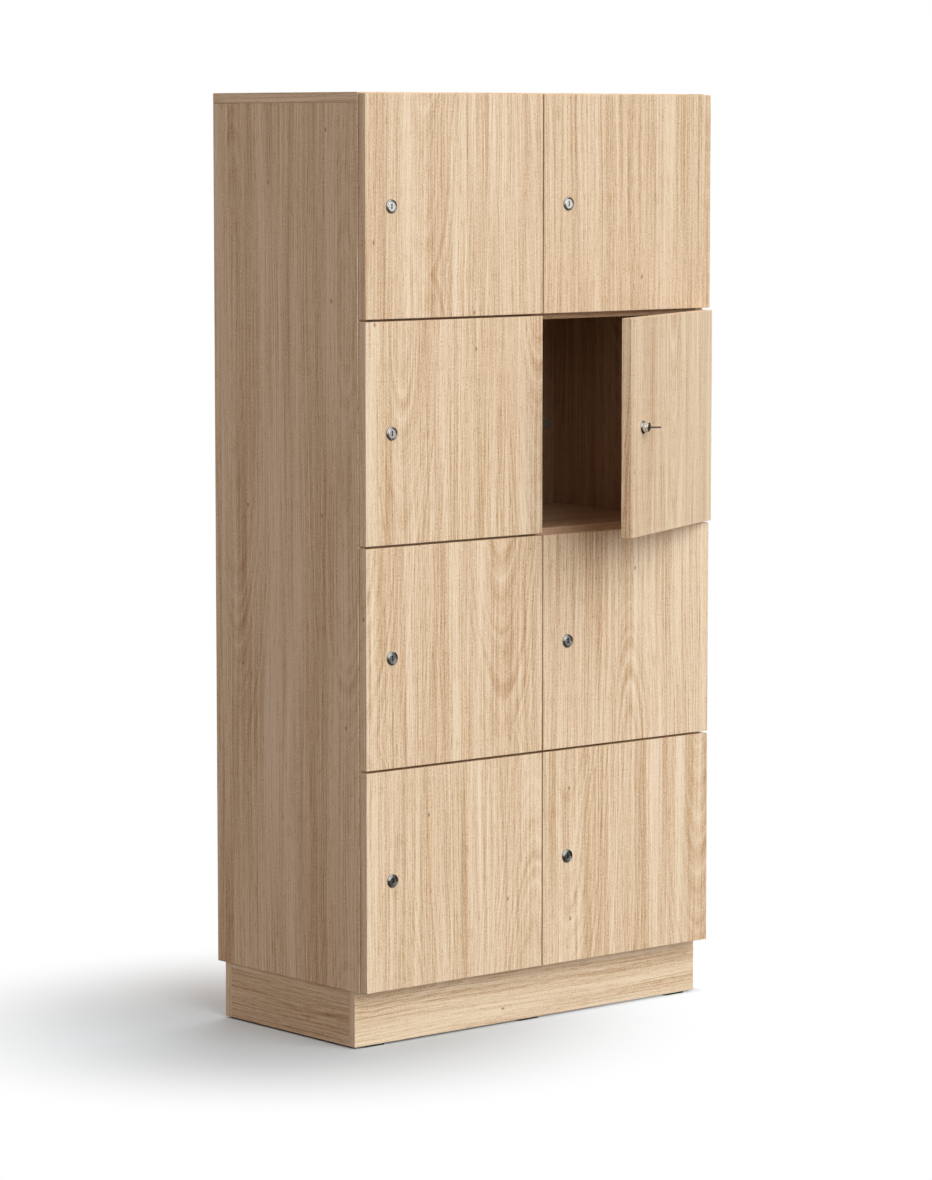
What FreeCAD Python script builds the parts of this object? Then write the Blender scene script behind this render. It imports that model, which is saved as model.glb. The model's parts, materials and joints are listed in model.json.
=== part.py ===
import FreeCAD, Part
import os
import re
import Sketcher

# A wooden locker: four rows of two compartments on a plinth, each with its own overlay door.
# Every door hangs on two concealed cup hinges at its right edge and has a cam lock near its left edge.
# Seven doors are shut. The door of the right column, second row from the top, stands ajar with its key in.
# X runs to the right, Y from front to back and Z up. The origin is on the floor, under the middle glide
# of the plinth's front board. Lengths are in millimetres and angles in degrees.

# Counts. Small round pieces that repeat are drawn with flat sides, so that the model stays light;
# the plugs and the ends of the hinge links keep true rounds, on the axes that they turn about.
row_count = 4
ajar_door = ("right", 2)
pin_sides = 8
cup_sides = 16
lock_sides = 16
nut_sides = 6
key_sides = 24

# Driving sizes. A name that ends in share is a plain ratio.
driving_sizes = {
    # carcass
    "overall_width": 800,
    "overall_height": 1636,
    "carcass_depth": 400,
    "board_thickness": 18,
    # plinth and its glides
    "plinth_height": 100,
    "plinth_board": 16,
    "plinth_front_recess": 14,
    "plinth_back_recess": 21,
    "plinth_side_recess": 1,
    "glide_length": 50,
    "glide_width": 14,
    "glide_height": 3,
    "glide_corner": 4,
    "glide_end_inset": 45,
    # doors
    "door_thickness": 18,
    "door_gap_behind": 2,
    "door_gap_rows": 4,
    "door_gap_columns": 3,
    "door_edge_inset": 1,
    "door_edge_break": 0.8,
    "ajar_angle": 26.1,
    # cup hinge: its two pivots, measured from the hinge edge and the outer face of the shut door
    "hinge_end_distance": 75,
    "arm_pivot_inset": 32,
    "arm_pivot_depth": 16,
    "door_pivot_inset": 9,
    "door_pivot_depth": 15,
    "link_turn_share": 0.75,
    # hinge cup
    "cup_radius": 17.5,
    "cup_depth": 12.5,
    "cup_wall": 0.8,
    "cup_edge_distance": 5,
    "cup_fit": 0.1,
    "flange_length": 56,
    "flange_width": 17,
    "flange_corner": 5,
    "flange_shift": 8.5,
    "flange_thickness": 1.2,
    # hinge link, a flat hook that swings round the rim of the cup
    "link_thickness": 6,
    "link_eye_radius": 3,
    "link_tip_radius": 2.2,
    "link_limb": 4.2,
    "link_drop": 7.5,
    "link_corner": 2,
    "link_shoulder": 4.5,
    "link_slant": 8,
    "pin_radius": 1.2,
    "pin_gap": 0.08,
    # share of a round end's radius at which its corners are cut
    "corner_share": 0.41,
    # hinge arm and its mounting plate
    "arm_width": 14,
    "arm_height": 10,
    "arm_length": 54,
    "arm_start": 14,
    "arm_set": 2,
    "arm_nose_radius": 3.5,
    "arm_slot_depth": 5.5,
    "arm_side_gap": 0.3,
    "rivet_set": 0.5,
    "plate_length": 46,
    "plate_start": 20,
    "plate_wing_span": 46,
    "plate_wing_width": 15,
    "plate_wing_thickness": 3,
    "plate_setback": 37,
    # cam lock
    "lock_inset": 56.5,
    "lock_rim_radius": 12,
    "lock_rim_height": 2.5,
    "lock_body_radius": 10.75,
    "lock_body_length": 23.3,
    "lock_fit": 0.1,
    "lock_nut_radius": 14.5,
    "lock_nut_height": 3.3,
    "plug_radius": 9,
    "plug_gap": 0.08,
    "plug_front": 2,
    "plug_front_keyed": 11.5,
    "keyway_width": 2.6,
    "keyway_height": 8.5,
    "keyway_depth": 24,
    # cam and its strike
    "cam_gap": 0.3,
    "cam_thickness": 2,
    "cam_reach": 33.5,
    "cam_root": 8,
    "cam_tip": 5,
    "cam_bite": 11.5,
    "cam_screw_radius": 4,
    "cam_screw_height": 2.4,
    "strike_thickness": 2,
    "strike_set": 0.6,
    "strike_leg": 25,
    "strike_height": 18,
    # key
    "key_thickness": 2.2,
    "key_blade_height": 7.5,
    "key_blade_length": 22,
    "key_bow_radius": 10,
    "key_bow_length": 21,
    "key_hole_radius": 2.5,
    "key_hole_wall": 2.5,
    "key_neck_height": 10,
    # how far a cut runs past what it cuts
    "overrun": 2,
}

doc = FreeCAD.newDocument("locker")
sheet = doc.addObject("Spreadsheet::Sheet", "sizes")
for sheet_row, (size_name, size_value) in enumerate(driving_sizes.items(), start=1):
    sheet.set(f"A{sheet_row}", size_name)
    sheet.set(f"B{sheet_row}", str(size_value))
    sheet.setAlias(f"B{sheet_row}", size_name)
doc.recompute()

# Sizes worked out from the driving ones
half_width = "overall_width / 2"
carcass_front = "(-plinth_front_recess - plinth_board / 2)"
carcass_back = f"({carcass_front} + carcass_depth)"
side_depth = "(carcass_depth - board_thickness)"
side_height = "(overall_height - plinth_height - board_thickness)"
row_pitch = f"((overall_height - plinth_height) / {row_count})"
door_width = "(overall_width / 2 - door_edge_inset - door_gap_columns / 2)"
door_height = f"({row_pitch} - door_gap_rows)"
door_face = f"({carcass_front} - door_gap_behind - door_thickness)"
hinge_height = f"({door_height} / 2 - hinge_end_distance)"
pivot_step_x = "(arm_pivot_inset - door_pivot_inset)"
pivot_step_y = "(door_pivot_depth - arm_pivot_depth)"
# Places on the door, seen from its own pivot
inner_face = "(door_thickness - door_pivot_depth)"
cup_x = "(door_pivot_inset - cup_edge_distance - cup_radius)"
lock_x = f"(door_pivot_inset + lock_inset - {door_width})"
# From a column's left upright to its lock, and from its hinge pivot to its right upright
upright_to_lock = {
    "left": "(door_edge_inset + lock_inset - board_thickness)",
    "right": "(door_gap_columns / 2 + lock_inset - board_thickness / 2)",
}
pivot_to_upright = {
    "left": "(arm_pivot_inset - board_thickness / 2 + door_gap_columns / 2)",
    "right": "(arm_pivot_inset - board_thickness + door_edge_inset)",
}
left_upright_x = {
    "left": f"(board_thickness - {half_width})",
    "right": "board_thickness / 2",
}
hinge_edge_x = {
    "left": "(-door_gap_columns / 2)",
    "right": f"({half_width} - door_edge_inset)",
}

columns = ("left", "right")
rows = range(1, row_count + 1)
kept = []


def formula(text):
    """Turn each size name in the text into its cell in the sheet."""
    def cell(word):
        name = word.group(0)
        return "sizes." + name if name in driving_sizes else name
    return re.sub(r"[a-z_]+", cell, str(text))


def bind(thing, formulas):
    """Tie properties of a thing to the sheet."""
    for name, text in formulas.items():
        thing.setExpression(name, formula(text))


def at(x, y, z, turn="0", axis="0; 0; 1"):
    """The formula of a place: a point, and a turn about an axis."""
    point = f"create(<<vector>>; {x}; {y}; {z})"
    rotation = f"create(<<rotation>>; create(<<vector>>; {axis}); {turn})"
    return f"create(<<placement>>; {point}; {rotation})"


def keep(thing, label):
    """Name a finished sub-part and list it for export."""
    thing.Label = label
    kept.append(thing)
    return thing


def board(label, corner, size):
    """A plain board from its lowest corner and its three sizes."""
    box = doc.addObject("Part::Box", label)
    bind(box, dict(zip(("Length", "Width", "Height"), size)))
    bind(box, {"Placement": at(*corner)})
    return box


def group(label, pieces, place=None):
    """Separate solids under one name: each is a piece and where it goes."""
    links = []
    for index, (piece, spot) in enumerate(pieces, start=1):
        link = doc.addObject("App::Link", f"{label}_{index}")
        link.LinkedObject = piece
        bind(link, {"Placement": spot})
        links.append(link)
    whole = doc.addObject("Part::Compound", label)
    whole.Links = links
    if place:
        bind(whole, {"Placement": place})
    return whole


def sketch_on(body, role, name, lift="0"):
    """An empty sketch on one of the body's own planes, lifted along the plane's normal."""
    sketch = body.newObject("Sketcher::SketchObject", name)
    plane = [feature for feature in body.Origin.OriginFeatures if feature.Role == role][0]
    sketch.AttachmentSupport = [(plane, "")]
    sketch.MapMode = "FlatFace"
    bind(sketch, {"AttachmentOffset.Base.z": lift})
    return sketch


def pin_point(sketch, piece, end, x, y):
    """Hold one point of a sketch at its two coordinates."""
    for kind, text in (("DistanceX", x), ("DistanceY", y)):
        index = sketch.addConstraint(Sketcher.Constraint(kind, piece, end, 1.0))
        bind(sketch, {f"Constraints[{index}]": text})


def outline(sketch, corners):
    """A closed outline of straight edges through the given corners, first drawn roughly, then held to them."""
    count = len(corners)
    first = sketch.GeometryCount
    spots = [FreeCAD.Vector(index, index * index, 0) for index in range(count)]
    for index in range(count):
        sketch.addGeometry(Part.LineSegment(spots[index], spots[(index + 1) % count]))
    for index in range(count):
        following = first + (index + 1) % count
        sketch.addConstraint(Sketcher.Constraint("Coincident", first + index, 2, following, 1))
    for index, (x, y) in enumerate(corners):
        pin_point(sketch, first + index, 1, x, y)


def round_outline(sketch, x, y, radius, sides):
    """A round drawn with flat sides, by its centre and the radius to its corners."""
    turns = [360 / sides * side for side in range(sides)]
    outline(sketch, [(f"{x} + {radius} * cos({turn})", f"{y} + {radius} * sin({turn})") for turn in turns])


def circle(sketch, radius):
    """A true circle about the sketch's origin."""
    piece = sketch.addGeometry(Part.Circle(FreeCAD.Vector(0, 0, 0), FreeCAD.Vector(0, 0, 1), 1))
    sketch.addConstraint(Sketcher.Constraint("Coincident", piece, 3, -1, 1))
    index = sketch.addConstraint(Sketcher.Constraint("Radius", piece, 1.0))
    bind(sketch, {f"Constraints[{index}]": radius})


def round_corner(body, pad, name, direction, radius):
    """Round the upright edge of a pad that lies furthest in the direction."""
    def nearness(index):
        middle = pad.Shape.Edges[index].CenterOfMass
        return middle.x * direction[0] + middle.y * direction[1] - abs(middle.z)
    corner = max(range(len(pad.Shape.Edges)), key=nearness)
    fillet = body.newObject("PartDesign::Fillet", name)
    fillet.Base = (pad, [f"Edge{corner + 1}"])
    bind(fillet, {"Radius": radius})
    doc.recompute()
    return fillet


def clear_radius(radius, gap, sides):
    """The radius to the corners of a round hole whose flat sides leave the gap to a shaft's corners."""
    return f"(({radius} + {gap}) / cos({180 / sides}))"


def feature(body, kind, sketch, name, length=None, both_ways=False, other_way=False):
    """A pad or pocket of a sketch; a pocket with no length goes right through."""
    made = body.newObject("PartDesign::" + kind, name)
    made.Profile = sketch
    made.SideType = "Symmetric" if both_ways else "One side"
    made.Reversed = other_way
    if length is None:
        made.Type = "ThroughAll"
    else:
        bind(made, {"Length": length})
    doc.recompute()
    return made


def rectangle(x_low, y_low, x_high, y_high):
    """The four corners of a rectangle."""
    return [(x_low, y_low), (x_high, y_low), (x_high, y_high), (x_low, y_high)]


def cut_rectangle(x_low, y_low, x_high, y_high, cut):
    """A rectangle with its corners cut off."""
    return [
        (f"{x_low} + {cut}", y_low), (f"{x_high} - {cut}", y_low),
        (x_high, f"{y_low} + {cut}"), (x_high, f"{y_high} - {cut}"),
        (f"{x_high} - {cut}", y_high), (f"{x_low} + {cut}", y_high),
        (x_low, f"{y_high} - {cut}"), (x_low, f"{y_low} + {cut}"),
    ]


def row_centre(row):
    """Height of the middle of a row, counted from the top."""
    return f"(plinth_height + {row_pitch} * ({row_count - row} + 1 / 2))"


def row_line(row):
    """Height of the line under a row, counted from the top."""
    return f"(plinth_height + {row_pitch} * {row_count - row})"


def door_angle(column, row):
    """How far a door stands open."""
    return "ajar_angle" if (column, row) == ajar_door else "0"


def arm_pose(column, row):
    """Place of the pivot that a door's links turn on, at the middle of the row."""
    x = f"{hinge_edge_x[column]} - arm_pivot_inset"
    return at(x, f"{door_face} + arm_pivot_depth", row_centre(row))


def link_pose(column, row):
    """Place of a door's links: they turn back as the door opens."""
    x = f"{hinge_edge_x[column]} - arm_pivot_inset"
    turn = f"-link_turn_share * {door_angle(column, row)}"
    return at(x, f"{door_face} + arm_pivot_depth", row_centre(row), turn)


def door_pose(column, row):
    """Place of a door and all that it carries, at its pivot and mid height."""
    turn = f"(1 + link_turn_share) * {door_angle(column, row)}"
    return link_pose(column, row) + " * " + at(pivot_step_x, pivot_step_y, "0", turn)


# Carcass

def make_carcass():
    """Top over the sides and back, back over the ends of the sides, shelves between the uprights."""
    outer_left = f"(-{half_width})"
    inner_left = f"({outer_left} + board_thickness)"
    clear_width = "(overall_width - 2 * board_thickness)"
    top_z = "(overall_height - board_thickness)"
    keep(board("top_panel", (outer_left, carcass_front, top_z),
               ("overall_width", "carcass_depth", "board_thickness")), "top_panel")
    keep(board("bottom_panel", (inner_left, carcass_front, "plinth_height"),
               (clear_width, side_depth, "board_thickness")), "bottom_panel")
    keep(board("left_side", (outer_left, carcass_front, "plinth_height"),
               ("board_thickness", side_depth, side_height)), "left_side")
    keep(board("right_side", (f"{half_width} - board_thickness", carcass_front, "plinth_height"),
               ("board_thickness", side_depth, side_height)), "right_side")
    keep(board("centre_divider", ("-board_thickness / 2", carcass_front, "plinth_height + board_thickness"),
               ("board_thickness", side_depth, f"{side_height} - board_thickness")), "centre_divider")
    keep(board("back_panel", (outer_left, f"{carcass_back} - board_thickness", "plinth_height"),
               ("overall_width", "board_thickness", side_height)), "back_panel")
    shelf_x = {"left": inner_left, "right": "board_thickness / 2"}
    shelf_width = f"({half_width} - board_thickness * 3 / 2)"
    for column in columns:
        for row in rows[:-1]:
            label = f"shelf_{column}_{row}"
            corner = (shelf_x[column], carcass_front, f"{row_line(row)} - board_thickness / 2")
            keep(board(label, corner, (shelf_width, side_depth, "board_thickness")), label)


# Plinth

def make_plinth():
    """A low frame: the front and back boards cover the ends of the side boards."""
    outer_left = f"(plinth_side_recess - {half_width})"
    length = "(overall_width - 2 * plinth_side_recess)"
    height = "(plinth_height - glide_height)"
    front_y = f"({carcass_front} + plinth_front_recess)"
    back_y = f"({carcass_back} - plinth_back_recess - plinth_board)"
    side_y = f"({front_y} + plinth_board)"
    side_length = f"({back_y} - {side_y})"
    keep(board("plinth_front", (outer_left, front_y, "glide_height"),
               (length, "plinth_board", height)), "plinth_front")
    keep(board("plinth_back", (outer_left, back_y, "glide_height"),
               (length, "plinth_board", height)), "plinth_back")
    side = board("plinth_side_board", ("0", "0", "0"), ("plinth_board", side_length, height))
    sides = [(side, at(outer_left, side_y, "glide_height")),
             (side, at(f"-{outer_left} - plinth_board", side_y, "glide_height"))]
    keep(group("plinth_sides", sides), "plinth_sides")

    glide = doc.addObject("PartDesign::Body", "glide")
    sketch = sketch_on(glide, "XY_Plane", "glide_outline")
    outline(sketch, cut_rectangle("-glide_length / 2", "-glide_width / 2",
                                  "glide_length / 2", "glide_width / 2", "glide_corner"))
    feature(glide, "Pad", sketch, "glide_pad", "glide_height")
    reach = f"({half_width} - plinth_side_recess - glide_end_inset)"
    spots = [at(x, y, "0")
             for y in ("0", f"{back_y} + plinth_board / 2")
             for x in (f"-{reach}", "0", reach)]
    keep(group("floor_glides", [(glide, spot) for spot in spots]), "floor_glides")


# Cup hinge. Arm, plate and link are drawn from the arm's pivot, the cup from the door's pivot.

def make_hinge_arm():
    """A bar along the upright with a forked nose that reaches into the cup; its rivet is the pivot."""
    body = doc.addObject("PartDesign::Body", "hinge_arm")
    sketch = sketch_on(body, "XY_Plane", "arm_outline")
    bar_end = "(arm_start + arm_length)"
    corner = "(arm_nose_radius * corner_share)"
    outline(sketch, [
        ("-arm_nose_radius", f"-{corner}"), (f"-{corner}", "-arm_nose_radius"),
        (corner, "-arm_nose_radius"), ("arm_nose_radius", f"-{corner}"),
        ("arm_nose_radius", "arm_slot_depth"), ("arm_height - arm_set", "arm_start"),
        ("arm_height - arm_set", bar_end), ("-arm_set", bar_end),
        ("-arm_set", "arm_start - arm_set"), ("-arm_nose_radius", "arm_slot_depth + arm_set"),
    ])
    feature(body, "Pad", sketch, "arm_bar", "arm_width", both_ways=True)
    sketch = sketch_on(body, "XY_Plane", "slot_outline")
    wide = "(arm_nose_radius + overrun)"
    outline(sketch, rectangle(f"-{wide}", f"-{wide}", wide, "arm_slot_depth"))
    slot_width = "link_thickness + 2 * arm_side_gap"
    feature(body, "Pocket", sketch, "arm_slot", slot_width, both_ways=True)
    sketch = sketch_on(body, "XY_Plane", "rivet_outline")
    round_outline(sketch, "0", "0", "pin_radius", pin_sides)
    feature(body, "Pad", sketch, "arm_rivet", "arm_width - 2 * rivet_set", both_ways=True)
    return body


def make_hinge_plate(column):
    """The block between arm and upright, with two wings that are screwed to the upright."""
    arm_back = "(arm_height - arm_set)"
    thickness = f"({pivot_to_upright[column]} - {arm_back})"
    block = board(f"plate_block_{column}", (arm_back, "plate_start", "-arm_width / 2"),
                  (thickness, "plate_length", "arm_width"))
    wing_x = f"{pivot_to_upright[column]} - plate_wing_thickness"
    screw_line = "(door_thickness + door_gap_behind - arm_pivot_depth + plate_setback)"
    wing = board(f"plate_wing_{column}", (wing_x, f"{screw_line} - plate_wing_width / 2", "-plate_wing_span / 2"),
                 ("plate_wing_thickness", "plate_wing_width", "plate_wing_span"))
    plate = doc.addObject("Part::Fuse", f"hinge_plate_{column}")
    plate.Base = block
    plate.Tool = wing
    return plate


def make_hinge_link():
    """The hooked link: it lies in the shut cup and hooks round the cup's rim when the door is open.

    One corner at each end is a true round about that end's pivot.
    """
    body = doc.addObject("PartDesign::Body", "hinge_link")
    sketch = sketch_on(body, "XY_Plane", "hook_outline")
    bottom = f"({pivot_step_y} - link_drop)"
    inner = f"({bottom} + link_limb)"
    tip_left = f"({pivot_step_x} - link_tip_radius)"
    tip_right = f"({pivot_step_x} + link_tip_radius)"
    tip_top = f"({pivot_step_y} + link_tip_radius)"
    eye_corner = "(link_eye_radius * corner_share)"
    tip_corner = "(link_tip_radius * corner_share)"
    slant_end = "(link_shoulder + link_slant)"
    outline(sketch, [
        ("-link_eye_radius", "link_eye_radius"), ("link_shoulder", "link_eye_radius"), (slant_end, inner),
        (tip_left, inner), (tip_left, f"{pivot_step_y} + {tip_corner}"),
        (f"{pivot_step_x} - {tip_corner}", tip_top), (tip_right, tip_top),
        (tip_right, f"{bottom} + link_corner"), (f"{tip_right} - link_corner", bottom),
        (f"{slant_end} - link_eye_radius", bottom), (f"-{eye_corner}", "-link_eye_radius"),
        ("-link_eye_radius", f"-{eye_corner}"),
    ])
    hook = feature(body, "Pad", sketch, "hook", "link_thickness", both_ways=True)
    eye = round_corner(body, hook, "eye_round", (-1, 1), "link_eye_radius")
    round_corner(body, eye, "tip_round", (1, 1), "link_tip_radius")
    sketch = sketch_on(body, "XY_Plane", "pin_holes_outline")
    for x, y in (("0", "0"), (pivot_step_x, pivot_step_y)):
        round_outline(sketch, x, y, clear_radius("pin_radius", "pin_gap", pin_sides), pin_sides)
    feature(body, "Pocket", sketch, "pin_holes", "link_thickness + overrun", both_ways=True)
    return body


def make_hinge_cup():
    """The cup in the door, its flange on the door's inner face and the rivet that the link turns on."""
    body = doc.addObject("PartDesign::Body", "hinge_cup")
    sketch = sketch_on(body, "XZ_Plane", "flange_outline", f"-{inner_face}")
    flange_x = f"({cup_x} - flange_shift)"
    outline(sketch, cut_rectangle(f"{flange_x} - flange_width / 2", "-flange_length / 2",
                                  f"{flange_x} + flange_width / 2", "flange_length / 2", "flange_corner"))
    feature(body, "Pad", sketch, "flange", "flange_thickness", other_way=True)
    sketch = sketch_on(body, "XZ_Plane", "cup_outline", f"-{inner_face}")
    round_outline(sketch, cup_x, "0", "cup_radius", cup_sides)
    feature(body, "Pad", sketch, "cup", "cup_depth")
    sketch = sketch_on(body, "XZ_Plane", "hollow_outline", f"-{inner_face} - flange_thickness")
    round_outline(sketch, cup_x, "0", "(cup_radius - cup_wall)", cup_sides)
    feature(body, "Pocket", sketch, "hollow", "flange_thickness + cup_depth - cup_wall", other_way=True)
    sketch = sketch_on(body, "XY_Plane", "rivet_outline")
    round_outline(sketch, "0", "0", "pin_radius", pin_sides)
    flat_radius = f"(cup_radius * cos({180 / cup_sides}))"
    span = f"2 * sqrt({flat_radius}^2 - (cup_radius + cup_edge_distance - door_pivot_inset + pin_radius)^2)"
    feature(body, "Pad", sketch, "cup_rivet", span, both_ways=True)
    return body


# Cam lock, drawn from the point where its axis meets the door's outer face, with Y into the locker.

def make_lock_housing():
    """A flanged barrel through the door, with the bore that the plug turns in."""
    body = doc.addObject("PartDesign::Body", "lock_barrel")
    sketch = sketch_on(body, "XZ_Plane", "rim_outline")
    round_outline(sketch, "0", "0", "lock_rim_radius", lock_sides)
    feature(body, "Pad", sketch, "rim", "lock_rim_height")
    sketch = sketch_on(body, "XZ_Plane", "barrel_outline")
    round_outline(sketch, "0", "0", "lock_body_radius", lock_sides)
    feature(body, "Pad", sketch, "barrel", "lock_body_length", other_way=True)
    sketch = sketch_on(body, "XZ_Plane", "bore_outline", "lock_rim_height")
    round_outline(sketch, "0", "0", clear_radius("plug_radius", "plug_gap", lock_sides), lock_sides)
    feature(body, "Pocket", sketch, "bore", "lock_rim_height + lock_body_length + overrun")
    return body


def make_lock_nut():
    """The six-sided nut that clamps the barrel to the door's inner face."""
    body = doc.addObject("PartDesign::Body", "lock_nut")
    sketch = sketch_on(body, "XZ_Plane", "nut_outline", "-door_thickness")
    round_outline(sketch, "0", "0", "lock_nut_radius", nut_sides)
    round_outline(sketch, "0", "0", "lock_body_radius", lock_sides)
    feature(body, "Pad", sketch, "nut", "lock_nut_height", other_way=True)
    return body


def make_lock_plug(name, front):
    """The turning plug with its keyway; front is how far it stands out of the door."""
    body = doc.addObject("PartDesign::Body", name)
    sketch = sketch_on(body, "XZ_Plane", name + "_outline", front)
    circle(sketch, "plug_radius")
    feature(body, "Pad", sketch, name + "_round", f"{front} + lock_body_length + cam_gap", other_way=True)
    sketch = sketch_on(body, "XZ_Plane", name + "_keyway_outline", front)
    outline(sketch, rectangle("-keyway_width / 2", "-keyway_height / 2",
                              "keyway_width / 2", "keyway_height / 2"))
    feature(body, "Pocket", sketch, name + "_keyway", "keyway_depth")
    return body


def make_lock_cam():
    """The cam on the plug's rear end with its screw head; it points to the hinge side when unlocked."""
    body = doc.addObject("PartDesign::Body", "lock_cam")
    front = "(lock_body_length + cam_gap)"
    sketch = sketch_on(body, "XZ_Plane", "cam_outline", f"-{front}")
    outline(sketch, [
        ("-cam_root", "-cam_root / 2"), ("-cam_root / 2", "-cam_root"), ("cam_root", "-cam_root"),
        ("cam_reach - cam_tip / 2", "-cam_tip"), ("cam_reach", "-cam_tip / 2"),
        ("cam_reach", "cam_tip / 2"), ("cam_reach - cam_tip / 2", "cam_tip"),
        ("cam_root", "cam_root"), ("-cam_root / 2", "cam_root"), ("-cam_root", "cam_root / 2"),
    ])
    feature(body, "Pad", sketch, "cam", "cam_thickness", other_way=True)
    sketch = sketch_on(body, "XZ_Plane", "cam_screw_outline", f"-{front} - cam_thickness")
    round_outline(sketch, "0", "0", "cam_screw_radius", pin_sides)
    feature(body, "Pad", sketch, "cam_screw", "cam_screw_height", other_way=True)
    return body


def make_strike(column):
    """The angle bracket that the cam swings behind, from the upright's face and the carcass front."""
    body = doc.addObject("PartDesign::Body", f"strike_{column}")
    reach = f"({upright_to_lock[column]} - cam_reach + cam_bite)"
    sketch = sketch_on(body, "XY_Plane", f"strike_outline_{column}")
    outline(sketch, [
        ("0", "strike_set"), (reach, "strike_set"), (reach, "strike_set + strike_thickness"),
        ("strike_thickness", "strike_set + strike_thickness"), ("strike_thickness", "strike_leg"),
        ("0", "strike_leg"),
    ])
    feature(body, "Pad", sketch, f"strike_pad_{column}", "strike_height", both_ways=True)
    return body


def make_key():
    """A flat key: blade in the keyway, neck and round bow outside, drawn with the keyway upright."""
    body = doc.addObject("PartDesign::Body", "key_body")
    front = "(-plug_front_keyed)"
    bow_end = f"({front} - key_bow_length)"
    bow_y = f"({bow_end} + key_bow_radius)"
    sketch = sketch_on(body, "YZ_Plane", "blade_outline")
    tip = f"({front} + key_blade_length)"
    outline(sketch, [
        (bow_y, "-key_neck_height / 2"), (front, "-key_neck_height / 2"), (front, "-key_blade_height / 2"),
        (f"{tip} - key_blade_height / 2", "-key_blade_height / 2"), (tip, "0"),
        (f"{tip} - key_blade_height / 2", "key_blade_height / 2"), (front, "key_blade_height / 2"),
        (front, "key_neck_height / 2"), (bow_y, "key_neck_height / 2"),
    ])
    feature(body, "Pad", sketch, "key_blade", "key_thickness", both_ways=True)
    sketch = sketch_on(body, "YZ_Plane", "bow_outline")
    round_outline(sketch, bow_y, "0", "key_bow_radius", key_sides)
    feature(body, "Pad", sketch, "key_bow", "key_thickness", both_ways=True)
    sketch = sketch_on(body, "YZ_Plane", "key_hole_outline")
    round_outline(sketch, f"({bow_end} + key_hole_wall + key_hole_radius)", "0", "key_hole_radius", pin_sides)
    feature(body, "Pocket", sketch, "key_hole", "key_thickness + overrun", both_ways=True)
    return body


# Doors

def make_door(column, row):
    """One door panel, bored for two cups and one lock, its outer edges broken."""
    label = f"door_{column}_{row}"
    body = doc.addObject("PartDesign::Body", label)
    sketch = sketch_on(body, "XZ_Plane", label + "_outline", "door_pivot_depth")
    outline(sketch, rectangle(f"door_pivot_inset - {door_width}", f"-{door_height} / 2",
                              "door_pivot_inset", f"{door_height} / 2"))
    panel = feature(body, "Pad", sketch, label + "_panel", "door_thickness", other_way=True)
    outer = min(range(len(panel.Shape.Faces)), key=lambda index: panel.Shape.Faces[index].CenterOfMass.y)
    edges = body.newObject("PartDesign::Chamfer", label + "_edges")
    edges.Base = (panel, [f"Face{outer + 1}"])
    bind(edges, {"Size": "door_edge_break"})
    doc.recompute()
    sketch = sketch_on(body, "XZ_Plane", label + "_cup_outline", f"-{inner_face}")
    for height in (f"-{hinge_height}", hinge_height):
        round_outline(sketch, cup_x, height, "(cup_radius + cup_fit)", cup_sides)
    feature(body, "Pocket", sketch, label + "_cups", "cup_depth", other_way=True)
    sketch = sketch_on(body, "XZ_Plane", label + "_lock_outline", "door_pivot_depth")
    round_outline(sketch, lock_x, "0", "(lock_body_radius + lock_fit)", lock_sides)
    feature(body, "Pocket", sketch, label + "_lock")
    bind(body, {"Placement": door_pose(column, row)})
    return keep(body, label)


def make_doors():
    """Eight doors, each with its cups, links, lock and turning plug."""
    cup = make_hinge_cup()
    link = make_hinge_link()
    barrel = make_lock_housing()
    nut = make_lock_nut()
    cam = make_lock_cam()
    shut_plug = make_lock_plug("shut_plug", "plug_front")
    keyed_plug = make_lock_plug("keyed_plug", "plug_front_keyed")
    here = at("0", "0", "0")
    pair = [at("0", "0", height) for height in (hinge_height, f"-{hinge_height}")]
    for column in columns:
        for row in rows:
            end = f"{column}_{row}"
            keyed = (column, row) == ajar_door
            make_door(column, row)
            place = door_pose(column, row)
            lock_place = place + " * " + at(lock_x, "-door_pivot_depth", "0")
            quarter = at("0", "0", "0", "90" if keyed else "0", "0; 1; 0")
            keep(group("hinge_cups_" + end, [(cup, spot) for spot in pair], place), "hinge_cups_" + end)
            keep(group("hinge_links_" + end, [(link, spot) for spot in pair], link_pose(column, row)),
                 "hinge_links_" + end)
            keep(group("lock_housing_" + end, [(barrel, here), (nut, here)], lock_place),
                 "lock_housing_" + end)
            plug = keyed_plug if keyed else shut_plug
            keep(group("lock_plug_" + end, [(plug, here), (cam, here)], lock_place + " * " + quarter),
                 "lock_plug_" + end)
            if keyed:
                key = make_key()
                bind(key, {"Placement": lock_place + " * " + quarter})
                keep(key, "key")


def make_carcass_fittings():
    """Hinge arms, mounting plates and lock strikes on the uprights."""
    arm = make_hinge_arm()
    arms = []
    plates = []
    strikes = []
    for column in columns:
        plate = make_hinge_plate(column)
        strike = make_strike(column)
        for row in rows:
            for height in (hinge_height, f"-{hinge_height}"):
                spot = arm_pose(column, row) + " * " + at("0", "0", height)
                arms.append((arm, spot))
                plates.append((plate, spot))
            strikes.append((strike, at(left_upright_x[column], carcass_front, row_centre(row))))
    keep(group("hinge_arms", arms), "hinge_arms")
    keep(group("hinge_plates", plates), "hinge_plates")
    keep(group("lock_strikes", strikes), "lock_strikes")


make_carcass()
make_plinth()
make_carcass_fittings()
make_doors()
doc.recompute()

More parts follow.
